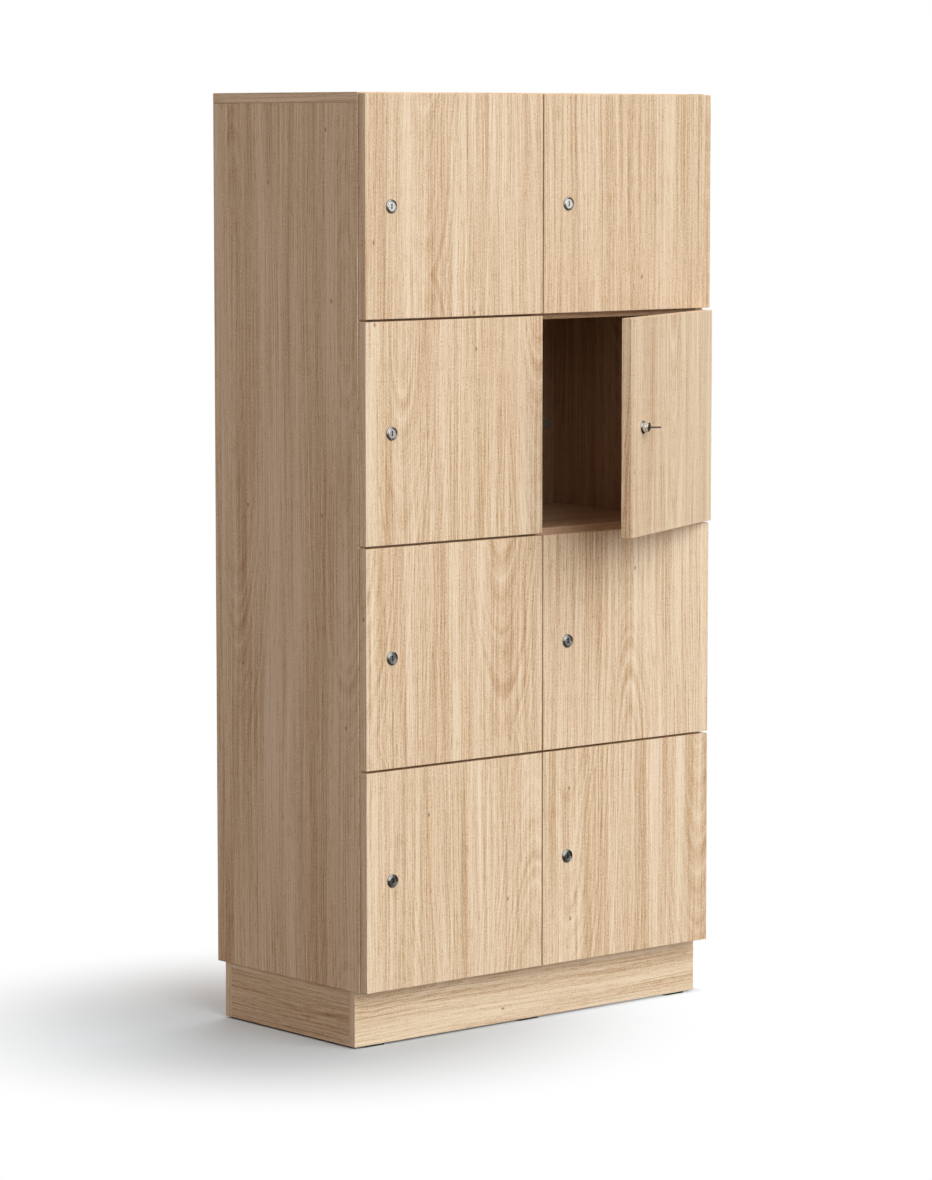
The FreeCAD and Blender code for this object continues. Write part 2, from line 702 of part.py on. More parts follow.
# Every object has to be sound, and every sub-part a valid solid, before anything is written.
for thing in doc.Objects:
    if "Invalid" in thing.State or "Error" in thing.State:
        raise RuntimeError(f"{thing.Name} failed: {thing.State}")
for thing in kept:
    if thing.Shape.isNull() or not thing.Shape.isValid() or not thing.Shape.Solids:
        raise RuntimeError(f"{thing.Label} has no valid solid")

os.makedirs("parts", exist_ok=True)
for thing in kept:
    thing.Shape.exportStep(f"parts/{thing.Label}.step")
print(len(kept), "sub-parts,", sum(len(thing.Shape.Solids) for thing in kept), "solids")
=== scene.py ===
import bmesh
import bpy
import json
import math
import numpy as np
from mathutils.geometry import delaunay_2d_cdt
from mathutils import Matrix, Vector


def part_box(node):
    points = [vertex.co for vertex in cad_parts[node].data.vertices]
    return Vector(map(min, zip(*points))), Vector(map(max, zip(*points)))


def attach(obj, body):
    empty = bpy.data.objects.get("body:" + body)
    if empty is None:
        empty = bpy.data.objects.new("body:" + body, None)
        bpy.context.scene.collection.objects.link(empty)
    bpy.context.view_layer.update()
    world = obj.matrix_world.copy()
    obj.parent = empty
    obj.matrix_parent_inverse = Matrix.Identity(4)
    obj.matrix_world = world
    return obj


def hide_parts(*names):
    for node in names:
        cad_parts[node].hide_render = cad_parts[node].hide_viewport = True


# Wooden compartment locker: oak laminate boards, concealed hinges, nickel-plated cam locks.
# Lengths are in metres, X to the right, Y from front to back, Z up. Fittings are drawn in millimetres.

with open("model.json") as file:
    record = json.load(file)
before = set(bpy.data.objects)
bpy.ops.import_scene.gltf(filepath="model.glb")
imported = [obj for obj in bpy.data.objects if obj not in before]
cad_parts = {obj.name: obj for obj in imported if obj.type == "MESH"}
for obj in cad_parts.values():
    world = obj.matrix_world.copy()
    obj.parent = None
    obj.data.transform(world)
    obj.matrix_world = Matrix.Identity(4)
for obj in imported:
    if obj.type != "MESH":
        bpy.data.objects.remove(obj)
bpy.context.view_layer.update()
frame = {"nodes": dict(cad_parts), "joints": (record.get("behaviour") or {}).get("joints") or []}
joints = {joint["name"]: joint for joint in frame["joints"]}
columns = ("left", "right")
rows = (1, 2, 3, 4)   # 1 is the top row
doorEnds = [f"{column}_{row}" for column in columns for row in rows]   # how a door's names end
ajarDoor = {"name": "right_2", "angle": math.radians(26.1)}
print("frame loaded")


# sRGB hex to linear RGBA: each channel c becomes ((c + 0.055) / 1.055) ^ 2.4, or c / 12.92 near black
def linear(hexColour):
    srgb = np.array([int(hexColour[i:i + 2], 16) for i in (1, 3, 5)]) / 255
    rgb = np.where(srgb > 0.04045, ((srgb + 0.055) / 1.055) ** 2.4, srgb / 12.92)
    return (*rgb.tolist(), 1.0)


# Adds one node. Settings are its own options. Inputs, by name or in the sockets' order, are values, sockets
# or nodes, which give their first output
def addNode(tree, kind, inputs=(), **settings):
    node = tree.nodes.new("ShaderNode" + kind)
    for option, value in settings.items():
        setattr(node, option, value)
    for name, value in inputs.items() if isinstance(inputs, dict) else enumerate(inputs):
        if isinstance(value, bpy.types.Node):
            value = value.outputs[0]
        if isinstance(value, bpy.types.NodeSocket):
            tree.links.new(value, node.inputs[name])
        else:
            node.inputs[name].default_value = value
    return node


# An empty node material with its surface shader, ready to be filled
def newMaterial(name):
    material = bpy.data.materials.new(name)
    material.use_nodes = True
    return material, material.node_tree, material.node_tree.nodes["Principled BSDF"]


# Oak laminate: a printed oak decor under matt melamine, so it looks like wood but is even and dry to
# the eye, with only a soft sheen. Its grain map holds metres, U across the grain and V along it.
oak = {
    "pale": "#f4dfc5", "body": "#e4caaa", "tan": "#cfae8a", "streak": "#b38b66", "knot": "#7c5639",
    "toneStops": ((0.05, "streak"), (0.32, "tan"), (0.58, "body"), (0.90, "pale")),
    # patterns: width across and length along the grain, shift, detail, roughness
    "slowWaver": (0.16, 0.55, 3.1, 2.0, 0.5),
    "quickWaver": (0.05, 0.16, 7.7, 1.0, 0.5),
    "trunkDepth": (0.5, 0.45, 1.3, 1.0, 0.5),
    "archPatches": (0.21, 0.6, 8.8, 1.0, 0.5),
    "bands": (0.060, 1.9, 5.3, 2.0, 0.55),        # broad tone bands
    "ribbons": (0.015, 0.9, 6.4, 1.0, 0.5),       # narrower tan ribbons between them
    "streaks": (0.0029, 0.38, 2.9, 3.0, 0.6),     # grain lines
    "pores": (0.0017, 0.030, 9.1, 2.0, 0.6),      # real ones are 0.3 mm wide, drawn coarser to show
    "flecks": (0.0017, 0.0040, 4.7, 1.0, 0.5),    # pale dust in the pores, drawn coarser to show
    "waver": 0.007, "quickWaverShare": 0.11,
    "ringSpacing": 0.0034, "plankWidth": 0.31, "archLength": 1.7, "archSlope": 0.10,
    "trunkDepthLeast": 0.012, "trunkDepthSpread": 0.035,
    "tone": 0.60, "bandWeight": 0.65, "ribbonWeight": 0.42, "streakWeight": 1.22, "fleckWeight": 0.60,
    "archWeight": (0.10, 0.50), "archPatchEdge": (0.40, 0.60),
    "poreEdge": (0.48, 0.28), "poreDark": 0.26, "poreDepth": 0.0004, "poreRelief": 0.18,
    "knotSpacing": 0.19, "knotStretch": 1.9, "knotSize": 0.0014, "knotEdge": (2.2, 0.5), "knotDark": 0.72,
    "knotChoice": 0.45,
    "roughness": (0.45, 0.59), "refraction": 1.5, "sheen": 0.14,
}


# A point that counts widths across the grain and lengths along it: u / width + shift and
# v / length + 0.37 shift
def grainPoint(tree, u, v, width, length, shift=0.0):
    parts = ((u, 1 / width, shift), (v, 1 / length, shift * 0.37))
    return addNode(tree, "CombineXYZ", [addNode(tree, "Math", part, operation="MULTIPLY_ADD")
                                        for part in parts])


# Noise over those counts
def grainPattern(tree, u, v, name):
    width, length, shift, detail, roughness = oak[name]
    point = grainPoint(tree, u, v, width, length, shift)
    return addNode(tree, "TexNoise", {"Vector": point, "Scale": 1.0, "Detail": detail,
                                      "Roughness": roughness}, noise_dimensions="2D")


# base + weight * (pattern - 0.5), so the pattern sways the base both ways
def swayed(tree, base, pattern, weight):
    centred = addNode(tree, "Math", (pattern, 0.5), operation="SUBTRACT")
    return addNode(tree, "Math", (centred, weight, base), operation="MULTIPLY_ADD")


# Grain lines, cathedral arches, pores and small knots, worked out from the grain map.
# Colour = palette * shade, where a shade below 1 makes a darker copy that paints shade
def oakLaminate(name, shade=(1.0, 1.0, 1.0)):
    palette = {key: (*(np.array(linear(oak[key])[:3]) * shade).tolist(), 1.0)
               for key in ("pale", "body", "tan", "streak", "knot")}
    material, tree, shader = newMaterial(name)
    grain = addNode(tree, "SeparateXYZ", {"Vector": addNode(tree, "UVMap", uv_map="grain")})
    across, along = grain.outputs["X"], grain.outputs["Y"]

    # The lines waver: across moves by a slow and a quick noise of the place
    wavered = swayed(tree, across, grainPattern(tree, across, along, "slowWaver"), oak["waver"] * 2)
    wavered = swayed(tree, wavered, grainPattern(tree, across, along, "quickWaver"),
                     oak["waver"] * 2 * oak["quickWaverShare"])

    # Cathedral arches: rings of a tilted trunk, radius = root of (side ^ 2 + depth ^ 2)
    side = addNode(tree, "Math", (wavered, oak["plankWidth"] / 2), operation="PINGPONG")
    arch = addNode(tree, "Math", (along, oak["archLength"] / 2), operation="PINGPONG")
    depth = addNode(tree, "Math", (arch, oak["archSlope"], oak["trunkDepthLeast"]),
                    operation="MULTIPLY_ADD")
    depth = addNode(tree, "Math", (grainPattern(tree, across, along, "trunkDepth"),
                                   oak["trunkDepthSpread"], depth), operation="MULTIPLY_ADD")
    trunk = addNode(tree, "CombineXYZ", (side, depth))
    radius = addNode(tree, "VectorMath", (trunk,), operation="LENGTH").outputs["Value"]
    count = addNode(tree, "Math", (radius, 1 / oak["ringSpacing"]), operation="MULTIPLY")
    rings = addNode(tree, "TexNoise", {"W": count, "Scale": 1.0, "Detail": 1.0, "Roughness": 0.5},
                    noise_dimensions="1D")
    archWeight = addNode(tree, "MapRange", (grainPattern(tree, across, along, "archPatches"),
                                            *oak["archPatchEdge"], *oak["archWeight"]))

    # Tone from 0, dark, to 1, pale
    streaks = grainPattern(tree, wavered, along, "streaks")
    tone = oak["tone"]
    for pattern, weight in ((grainPattern(tree, wavered, along, "bands"), oak["bandWeight"]),
                            (grainPattern(tree, wavered, along, "ribbons"), oak["ribbonWeight"]),
                            (rings, archWeight), (streaks, oak["streakWeight"]),
                            (grainPattern(tree, across, along, "flecks"), oak["fleckWeight"])):
        tone = swayed(tree, tone, pattern, weight)
    poreDark = addNode(tree, "MapRange", (grainPattern(tree, wavered, along, "pores"),
                                          *oak["poreEdge"], 0.0, oak["poreDark"]))
    tone = addNode(tree, "Math", (tone, poreDark), operation="SUBTRACT")
    ramp = addNode(tree, "ValToRGB", {"Fac": tone})
    stops = ramp.color_ramp.elements
    while len(stops) < len(oak["toneStops"]):
        stops.new(1.0)
    for stop, (position, key) in zip(stops, oak["toneStops"]):
        stop.position = position
        stop.color = palette[key]

    # Small dark knots, few to a door: the nearest point of a jittered grid, kept where its value is high
    spacing = oak["knotSpacing"]
    place = grainPoint(tree, wavered, along, spacing, spacing * oak["knotStretch"])
    cells = addNode(tree, "TexVoronoi", {"Vector": place, "Scale": 1.0, "Randomness": 1.0},
                    voronoi_dimensions="2D", feature="F1")
    reach = [edge * oak["knotSize"] / spacing for edge in oak["knotEdge"]]
    knots = addNode(tree, "MapRange", (cells, *reach, 0.0, oak["knotDark"]), interpolation_type="SMOOTHSTEP")
    value = addNode(tree, "SeparateColor", {"Color": cells.outputs["Color"]})
    chosen = addNode(tree, "Math", (value, oak["knotChoice"]), operation="GREATER_THAN")
    knots = addNode(tree, "Math", (knots, chosen), operation="MULTIPLY")
    colour = addNode(tree, "Mix", {0: knots, 6: ramp, 7: palette["knot"]}, data_type="RGBA")
    tree.links.new(colour.outputs[2], shader.inputs["Base Color"])

    # The pressed surface follows the pores
    height = addNode(tree, "Math", (1.0, poreDark), operation="SUBTRACT")
    bump = addNode(tree, "Bump", {"Height": height, "Strength": oak["poreRelief"],
                                  "Distance": oak["poreDepth"]})
    tree.links.new(bump.outputs[0], shader.inputs["Normal"])
    gloss = addNode(tree, "MapRange", (streaks, 0.0, 1.0, *oak["roughness"]))
    tree.links.new(gloss.outputs[0], shader.inputs["Roughness"])
    shader.inputs["IOR"].default_value = oak["refraction"]
    shader.inputs["Specular IOR Level"].default_value = oak["sheen"]
    return material


# The surface of metal and nylon: sizes in millimetres, and how far the polish varies
finish = {"polishSize": 1.111, "polishDetail": 3.0, "polishSpread": (0.75, 1.3), "polishDepth": 0.1,
          "pebbleSize": 0.714, "pebbleDetail": 2.0, "pebbleDepth": 0.2, "pebbleRelief": 0.3,
          "nylonRoughness": 0.62}


# Plated metal: bright, with a fine uneven polish that breaks the reflection a little
def platedMetal(name, colour, roughness, grit=0.0):
    material, tree, shader = newMaterial(name)
    place = addNode(tree, "TexCoord").outputs["Object"]
    polish = addNode(tree, "TexNoise", {"Vector": place, "Scale": 1000 / finish["polishSize"],
                                        "Detail": finish["polishDetail"]})
    spread = [roughness * share for share in finish["polishSpread"]]
    gloss = addNode(tree, "MapRange", (polish, 0.0, 1.0, *spread))
    tree.links.new(gloss.outputs[0], shader.inputs["Roughness"])
    shader.inputs["Base Color"].default_value = linear(colour)
    shader.inputs["Metallic"].default_value = 1.0
    if grit:
        bump = addNode(tree, "Bump", {"Height": polish, "Strength": grit,
                                      "Distance": finish["polishDepth"] / 1000})
        tree.links.new(bump.outputs[0], shader.inputs["Normal"])
    return material


# Black moulded nylon: dull, with a fine pebble from the mould
def mouldedNylon(name, colour):
    material, tree, shader = newMaterial(name)
    place = addNode(tree, "TexCoord").outputs["Object"]
    pebble = addNode(tree, "TexNoise", {"Vector": place, "Scale": 1000 / finish["pebbleSize"],
                                        "Detail": finish["pebbleDetail"]})
    bump = addNode(tree, "Bump", {"Height": pebble, "Strength": finish["pebbleRelief"],
                                  "Distance": finish["pebbleDepth"] / 1000})
    tree.links.new(bump.outputs[0], shader.inputs["Normal"])
    shader.inputs["Base Color"].default_value = linear(colour)
    shader.inputs["Roughness"].default_value = finish["nylonRoughness"]
    return material


oakFront = oakLaminate("oak laminate")
# A darker, redder copy of the same laminate for the compartments: painted shade
oakWithPaintedShade = oakLaminate("oak laminate with painted shade", (0.66, 0.58, 0.54))   # compartments read a shade darker
lockPlate = platedMetal("polished nickel plate", "#dcdbd8", 0.13)   # nearly a mirror
lockRim = platedMetal("burnished nickel plate", "#8e8c88", 0.20)   # a greyer, softer mirror
satinNickel = platedMetal("satin nickel plate", "#b9b6b0", 0.32, 0.15)   # silky shine
keyMetal = platedMetal("nickel silver key", "#5f5952", 0.3, 0.1)   # warm dark grey
dullZinc = platedMetal("dull zinc plate", "#5d5852", 0.5, 0.1)   # grey without a clear highlight
# Painted shade: a near-black metal on the keyway's walls and end, standing in for the shade inside the
# keyway
keywayPaintedShade = platedMetal("painted keyway shade", "#2a2825", 0.6)   # nearly black in the keyway
blackNylon = mouldedNylon("black nylon", "#141312")
print("materials made")


# Boards, in metres. The end shift sets an end band's grain off from the face's
board = {"edgeRadius": 0.0008, "cornerPoints": 3, "edgePoints": 3, "holePoints": 40,
         "endShift": (0.31, 0.17)}


# Corner centres and outward directions of a rounded rectangle: point = centre + radius * direction, where
# the direction turns a quarter at each corner
def roundedOutline(acrossSize, lengthSize, radius, count):
    signs = np.array([(1, 1), (-1, 1), (-1, -1), (1, -1)], float)
    centres = signs * (np.array([acrossSize, lengthSize]) / 2 - radius)
    turns = np.linspace(0, math.pi / 2, count)[None, :] + np.arange(4)[:, None] * math.pi / 2
    directions = np.stack([np.cos(turns), np.sin(turns)], -1).reshape(-1, 2)
    return np.repeat(centres, count, axis=0), directions


# Points of a circle at the given turns: centre + radius * (cos t, sin t)
def arcPoints(centre, radius, turns):
    return np.array(centre) + radius * np.stack([np.cos(turns), np.sin(turns)], -1)


# Points all round a circle, a full turn / count apart
def circlePoints(centre, radius, count):
    return arcPoints(centre, radius, np.arange(count) * 2 * math.pi / count)


# Quads between two closed rings of vertices that start at the given numbers
def ringFaces(first, second, count):
    here = np.arange(count)
    after = (here + 1) % count
    return np.stack([first + here, first + after, second + after, second + here], -1).tolist()


# Whether a point lies in a loop: a line from it to the right crosses the loop an odd number of times
def inLoop(point, loop):
    after = np.roll(loop, -1, axis=0)
    passes = (loop[:, 1] > point[1]) != (after[:, 1] > point[1])
    rise = np.where(passes, after[:, 1] - loop[:, 1], 1.0)
    crossing = loop[:, 0] + (point[1] - loop[:, 1]) / rise * (after[:, 0] - loop[:, 0])
    return np.count_nonzero(passes & (crossing > point[0])) % 2 == 1


# Triangles of a flat face with holes: the first loop is the outline, the others are the holes
def capFaces(loops):
    points = np.concatenate(loops)
    edges, start = [], 0
    for loop in loops:
        number = np.arange(len(loop))
        edges += (start + np.stack([number, (number + 1) % len(loop)], -1)).tolist()
        start += len(loop)
    made = delaunay_2d_cdt([tuple(point) for point in points], edges, [], 1, 1e-7)
    original = [source[0] for source in made[3]]
    faces = [[original[corner] for corner in face] for face in made[2]]
    holes = loops[1:]
    return [face for face in faces if not any(inLoop(points[face].mean(axis=0), hole) for hole in holes)]


# A board with eased edges in its own axes: across, along and thickness, centred on its middle.
# Rim point = corner centre + (edge radius - inset) * direction, where inset and depth follow the edge's
# quarter round. Each hole is a centre, a radius and a depth from the top face, or None to go through.
def panelMesh(size, holes=()):
    radius, count = board["edgeRadius"], board["holePoints"]
    centres, directions = roundedOutline(size[0], size[1], radius, board["cornerPoints"])
    bend = np.linspace(0, math.pi / 2, board["edgePoints"])
    inset, drop = radius * (1 - np.sin(bend)), radius * (1 - np.cos(bend))
    insets = np.concatenate([inset, inset[::-1]])
    bottom, top = -size[2] / 2, size[2] / 2
    heights = np.concatenate([bottom + drop, top - drop[::-1]])
    rings = centres[None] + (radius - insets)[:, None, None] * directions[None]
    rim = np.concatenate([rings, np.broadcast_to(heights[:, None, None], rings.shape[:2] + (1,))], -1)
    ringCount = len(centres)
    lastRing = (len(insets) - 1) * ringCount
    vertices = [rim.reshape(-1, 3)]
    faces = []
    for start in range(0, lastRing, ringCount):
        faces += ringFaces(start, start + ringCount, ringCount)
    total = lastRing + ringCount
    bottomLoops, bottomNumbers = [rings[0]], [np.arange(ringCount)]
    topLoops, topNumbers = [rings[-1]], [np.arange(ringCount) + lastRing]
    for centre, holeRadius, deep in holes:
        loop, numbers = circlePoints(centre, holeRadius, count), np.arange(count) + total
        foot = bottom if deep is None else top - deep
        vertices += [np.column_stack([loop, np.full(count, height)]) for height in (foot, top)]
        faces += [face[::-1] for face in ringFaces(total, total + count, count)]
        if deep is None:
            bottomLoops.append(loop)
            bottomNumbers.append(numbers)
        else:
            faces.append(numbers.tolist())
        topLoops.append(loop)
        topNumbers.append(numbers + count)
        total += 2 * count
    for loops, numbers, step in ((bottomLoops, bottomNumbers, -1), (topLoops, topNumbers, 1)):
        number = np.concatenate(numbers)
        faces += [number[face][::step].tolist() for face in capFaces(loops)]
    return np.concatenate(vertices), faces


# The faces' outward directions, one row each
def faceNormals(mesh):
    normals = np.empty(len(mesh.polygons) * 3)
    mesh.polygons.foreach_get("normal", normals)
    return normals.reshape(-1, 3)


# U across and V along the grain in metres. A board's two ends have their band's grain along the edge
def mapGrain(mesh, points, turn, shift):
    sizes = np.empty(len(mesh.polygons), int)
    mesh.polygons.foreach_get("loop_total", sizes)
    facing = np.abs(np.repeat(faceNormals(mesh) @ np.linalg.inv(turn), sizes, axis=0))
    corners = np.empty(len(mesh.loops), int)
    mesh.loops.foreach_get("vertex_index", corners)
    across, along, thickness = points[corners].T
    onEnd = facing[:, 1] > np.maximum(facing[:, 0], facing[:, 2])
    u = np.where(onEnd, thickness + board["endShift"][0], across + thickness) + shift[0]
    v = np.where(onEnd, across + board["endShift"][1], along) + shift[1]
    mesh.uv_layers.new(name="grain").data.foreach_set("uv", np.column_stack([u, v]).ravel())


# A mesh object at the origin that rides on its body and stands for its CAD nodes
def addPiece(name, vertices, faces, material, body, stands, smooth=False):
    mesh = bpy.data.meshes.new(name)
    mesh.from_pydata(vertices.tolist(), [], faces)
    mesh.update()
    piece = bpy.data.objects.new(name, mesh)
    bpy.context.scene.collection.objects.link(piece)
    mesh.materials.append(material)
    mesh.polygons.foreach_set("use_smooth", np.full(len(mesh.polygons), smooth))
    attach(piece, body)
    if stands:
        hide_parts(*stands)
    return piece


# A laminate board. turn holds the directions of across, along and thickness as rows, place its middle
def addBoard(name, body, size, turn, place, stands, holes=(), material=oakFront, shift=None):
    vertices, faces = panelMesh(size, holes)
    piece = addPiece(name + "_board", vertices @ turn + place, faces, material, body, stands)
    if shift is None:   # each board is cut from its own place in the decor
        random = np.random.default_rng(sum(ord(letter) * (index + 3) for index, letter in enumerate(name)))
        shift = random.uniform(0, 9, 2)
    mapGrain(piece.data, vertices, turn, shift)
    return piece


# Each turn holds across, along and thickness as rows. The last makes the three a right-handed set
uprightFacing = {"x": np.array([(0.0, 1, 0), (0, 0, 1), (1, 0, 0)]),
                 "y": np.array([(-1.0, 0, 0), (0, 0, 1), (0, 1, 0)])}
levelFacing = {"x": np.array([(0.0, 0, 1), (0, 1, 0), (-1, 0, 0)]),
               "y": np.array([(0.0, 0, 1), (1, 0, 0), (0, 1, 0)]),
               "z": np.array([(0.0, -1, 0), (1, 0, 0), (0, 0, 1)])}

# Boards that are seen from one compartment or another on both sides, and the inner side of the others. They
# take the darker laminate copy, painted shade for the compartments
carcass = {
    "insideOnly": ("shelf", "centre", "bottom"),
    "inwards": {"left_side": (1, 0, 0), "right_side": (-1, 0, 0), "top_panel": (0, 0, -1),
                "back_panel": (0, -1, 0)},
    "plinthThickness": 0.016, "plinthShift": (3.0, 4.0, 6.0),   # grain: 3 x + 4 across and 6 along
}


# A carcass board that fills its CAD node's box, with its grain along the second row of turn. Faces in the
# compartments take the darker laminate copy: painted shade
def addCarcassBoard(node, turn):
    low, high = np.array(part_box(node))
    inside = node.startswith(carcass["insideOnly"])
    piece = addBoard(node, "carcass", np.abs(turn) @ (high - low), turn, (low + high) / 2, [node],
                     material=oakWithPaintedShade if inside else oakFront)
    if node in carcass["inwards"]:
        piece.data.materials.append(oakWithPaintedShade)
        isInner = faceNormals(piece.data) @ carcass["inwards"][node] > 0.9
        piece.data.polygons.foreach_set("material_index", isInner.astype(np.int32))


for node in ("left_side", "right_side", "centre_divider"):
    addCarcassBoard(node, uprightFacing["x"])
addCarcassBoard("back_panel", uprightFacing["y"])
for node in ("top_panel", "bottom_panel"):
    addCarcassBoard(node, levelFacing["z"])
for column in columns:
    for row in rows[:-1]:
        addCarcassBoard(f"shelf_{column}_{row}", levelFacing["z"])
for node in ("plinth_front", "plinth_back"):
    addCarcassBoard(node, levelFacing["y"])


# The plinth's two side boards lie in one node, at its two ends
def addPlinthSides():
    low, high = np.array(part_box("plinth_sides"))
    turn, thickness = levelFacing["x"], carcass["plinthThickness"]
    size = np.abs(turn) @ (thickness, *(high - low)[1:])
    scale, across, along = carcass["plinthShift"]
    for side, middleX, stands in (("left", low[0] + thickness / 2, ["plinth_sides"]),
                                  ("right", high[0] - thickness / 2, [])):
        middle = np.array([middleX, *(low + high)[1:] / 2])
        addBoard("plinth_side_" + side, "carcass", size, turn, middle, stands,
                 shift=(middleX * scale + across, along))


addPlinthSides()
print("carcass boards made")

# Door sizes from the frame's first door. Places are seen from the door's pivot, or from its edges
door = {"cupInset": 0.0225, "cupRadius": 0.0176, "cupDepth": 0.0125, "hingeHeight": 0.115,
        "lockInset": 0.0565, "lockRadius": 0.01085}
doorLow, doorHigh = np.array(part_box("door_left_1"))
door["size"] = (doorHigh - doorLow)[[0, 2, 1]]
door["middle"] = (doorLow + doorHigh) / 2 - joints["door_swing_left_1"]["pos_m"]


# The door's turn about its pivot as a matrix, and the pivot's point
def doorPlace(end):
    angle = ajarDoor["angle"] if end == ajarDoor["name"] else 0.0
    return turnAboutZ(angle), np.array(joints["door_swing_" + end]["pos_m"])


# Rows (cos a, sin a, 0), (-sin a, cos a, 0) and (0, 0, 1)
def turnAboutZ(angle):
    cosine, sine = math.cos(angle), math.sin(angle)
    return np.array([(cosine, sine, 0), (-sine, cosine, 0), (0, 0, 1)])


# One door board with its lock bore and two cup pockets. Its inner face is the top face of the panel
def addDoor(end):
    turn, pivot = doorPlace(end)
    lockAcross = door["size"][0] / 2 - door["lockInset"]
    cupAcross = door["cupInset"] - door["size"][0] / 2
    holes = [((lockAcross, 0.0), door["lockRadius"], None)]
    holes += [((cupAcross, height), door["cupRadius"], door["cupDepth"])
              for height in (door["hingeHeight"], -door["hingeHeight"])]
    addBoard("door_" + end, "door_" + end, door["size"], uprightFacing["y"] @ turn,
             door["middle"] @ turn + pivot, ["door_" + end], holes)


for end in doorEnds:
    addDoor(end)
print("doors made")


# Fittings. They are drawn in millimetres, in the hinge's or the lock's own axes, and set in place after
fitting = {"points": 48, "pinPoints": 16, "filletPoints": 5, "weldDecimals": 3, "bevel": 0.25,
           "bevelRoom": 2.2, "sharpAngle": math.radians(40)}   # room beside an edge, in bevels
alongX, alongY = (2, 0, 1), (0, 2, 1)   # outlines pulled along X from (y, z), and along Y from (x, z)
yToUp = ((1, 0, 0), (0, 0, 1), (0, -1, 0))       # turns that lay a shape's own Y axis upwards,
yToLeft = ((0, 0, 1), (-1, 0, 0), (0, -1, 0))    # to the left
yToRight = ((0, 0, -1), (1, 0, 0), (0, -1, 0))   # and to the right


# One shape of several: each shape's faces count on from the vertices before them
def joined(*shapes):
    vertices, faces, start = [], [], 0
    for points, corners in shapes:
        vertices.append(points)
        faces += [[start + corner for corner in face] for face in corners]
        start += len(points)
    return np.concatenate(vertices), faces


# The shape turned, its three axes laid along the rows of turn, then shifted by the point
def moved(shape, point, turn=((1, 0, 0), (0, 1, 0), (0, 0, 1))):
    return shape[0] @ np.array(turn, float) + np.array(point, float), shape[1]


# Points of one shape that lie at the same place become one
def welded(shape):
    points, faces = shape
    _, first, merged = np.unique(np.round(points, fitting["weldDecimals"]), axis=0, return_index=True,
                                 return_inverse=True)
    merged = merged.ravel()
    return points[first], [merged[face].tolist() for face in faces]


# Rings about Y: each (radius, depth) becomes points (radius cos t, depth, radius sin t). ends says whether
# the first and the last ring are closed by a flat face. A profile that ends where it began closes itself.
def lathed(profile, count=fitting["points"], ends=(True, True)):
    turn = np.arange(count) * 2 * math.pi / count
    radius, depth = np.array(profile, float).T[:, :, None]
    points = np.stack([radius * np.cos(turn), depth + 0 * turn, radius * np.sin(turn)], -1).reshape(-1, 3)
    faces = []
    for start in range(0, len(points) - count, count):
        faces += ringFaces(start, start + count, count)
    rims = (list(range(count)), list(range(len(points) - count, len(points))))
    return welded((points, faces + [rim for rim, closed in zip(rims, ends) if closed]))


# An outline with rounded corners. Each corner is (x, y, radius): arc centre = corner + (u + v) / |u + v| *
# radius / sin(half angle), where u and v point to the neighbours.
def filleted(corners):
    outline = []
    for index, (x, y, radius) in enumerate(corners):
        corner = np.array([x, y], float)
        if not radius:
            outline.append(corner)
            continue
        before = np.array(corners[index - 1][:2]) - corner
        after = np.array(corners[(index + 1) % len(corners)][:2]) - corner
        u, v = before / np.linalg.norm(before), after / np.linalg.norm(after)
        half = math.acos(np.clip(u @ v, -1, 1)) / 2
        centre = corner + (u + v) / np.linalg.norm(u + v) * radius / math.sin(half)
        start, end = (corner + way * radius / math.tan(half) - centre for way in (u, v))
        for part in np.linspace(0, 1, fitting["filletPoints"]):
            spoke = start * (1 - part) + end * part
            outline.append(centre + spoke / np.linalg.norm(spoke) * radius)
    return np.array(outline)


# The loops' points at one height, with their axes put in the given order
def atHeight(points, height, order):
    return np.column_stack([points, np.full(len(points), height)])[:, order]


# A flat face with holes at a height
def flatFace(loops, height, order):
    return atHeight(np.concatenate(loops), height, order), capFaces(loops)


# The upright walls over a loop, with no caps
def openWalls(loop, low, high, order):
    points = np.concatenate([atHeight(loop, low, order), atHeight(loop, high, order)])
    return points, ringFaces(0, len(loop), len(loop))


# A flat outline, with holes if more loops follow, pulled from low to high
def pulled(loops, low, high, order=(0, 1, 2)):
    points = np.concatenate(loops)
    count = len(points)
    cap = capFaces(loops) if len(loops) > 1 else [list(range(count))]
    faces = [face[::-1] for face in cap] + [[corner + count for corner in face] for face in cap]
    start = 0
    for loop in loops:
        faces += ringFaces(start, start + count, len(loop))
        start += len(loop)
    return np.concatenate([atHeight(points, low, order), atHeight(points, high, order)]), faces


# A block between two values on each axis; the radius rounds its corners seen from X
def roundedBlock(x, y, z, radius):
    outline = filleted([(y[across], z[up], radius) for across, up in ((0, 0), (1, 0), (1, 1), (0, 1))])
    return pulled([outline], x[0], x[1], alongX)


# An outline and its mirror image below the first axis, in one round
def mirrored(corners):
    return [(x, -y, radius) for x, y, radius in corners] + list(corners)[::-1]


# Shares are of the head's radius, lengths in millimetres
screw = {"points": 20, "domePoints": 5, "topShare": 0.62, "armShare": 0.50, "slotShare": 0.13,
         "deepShare": 0.35, "floor": 0.15, "sunk": 0.2}


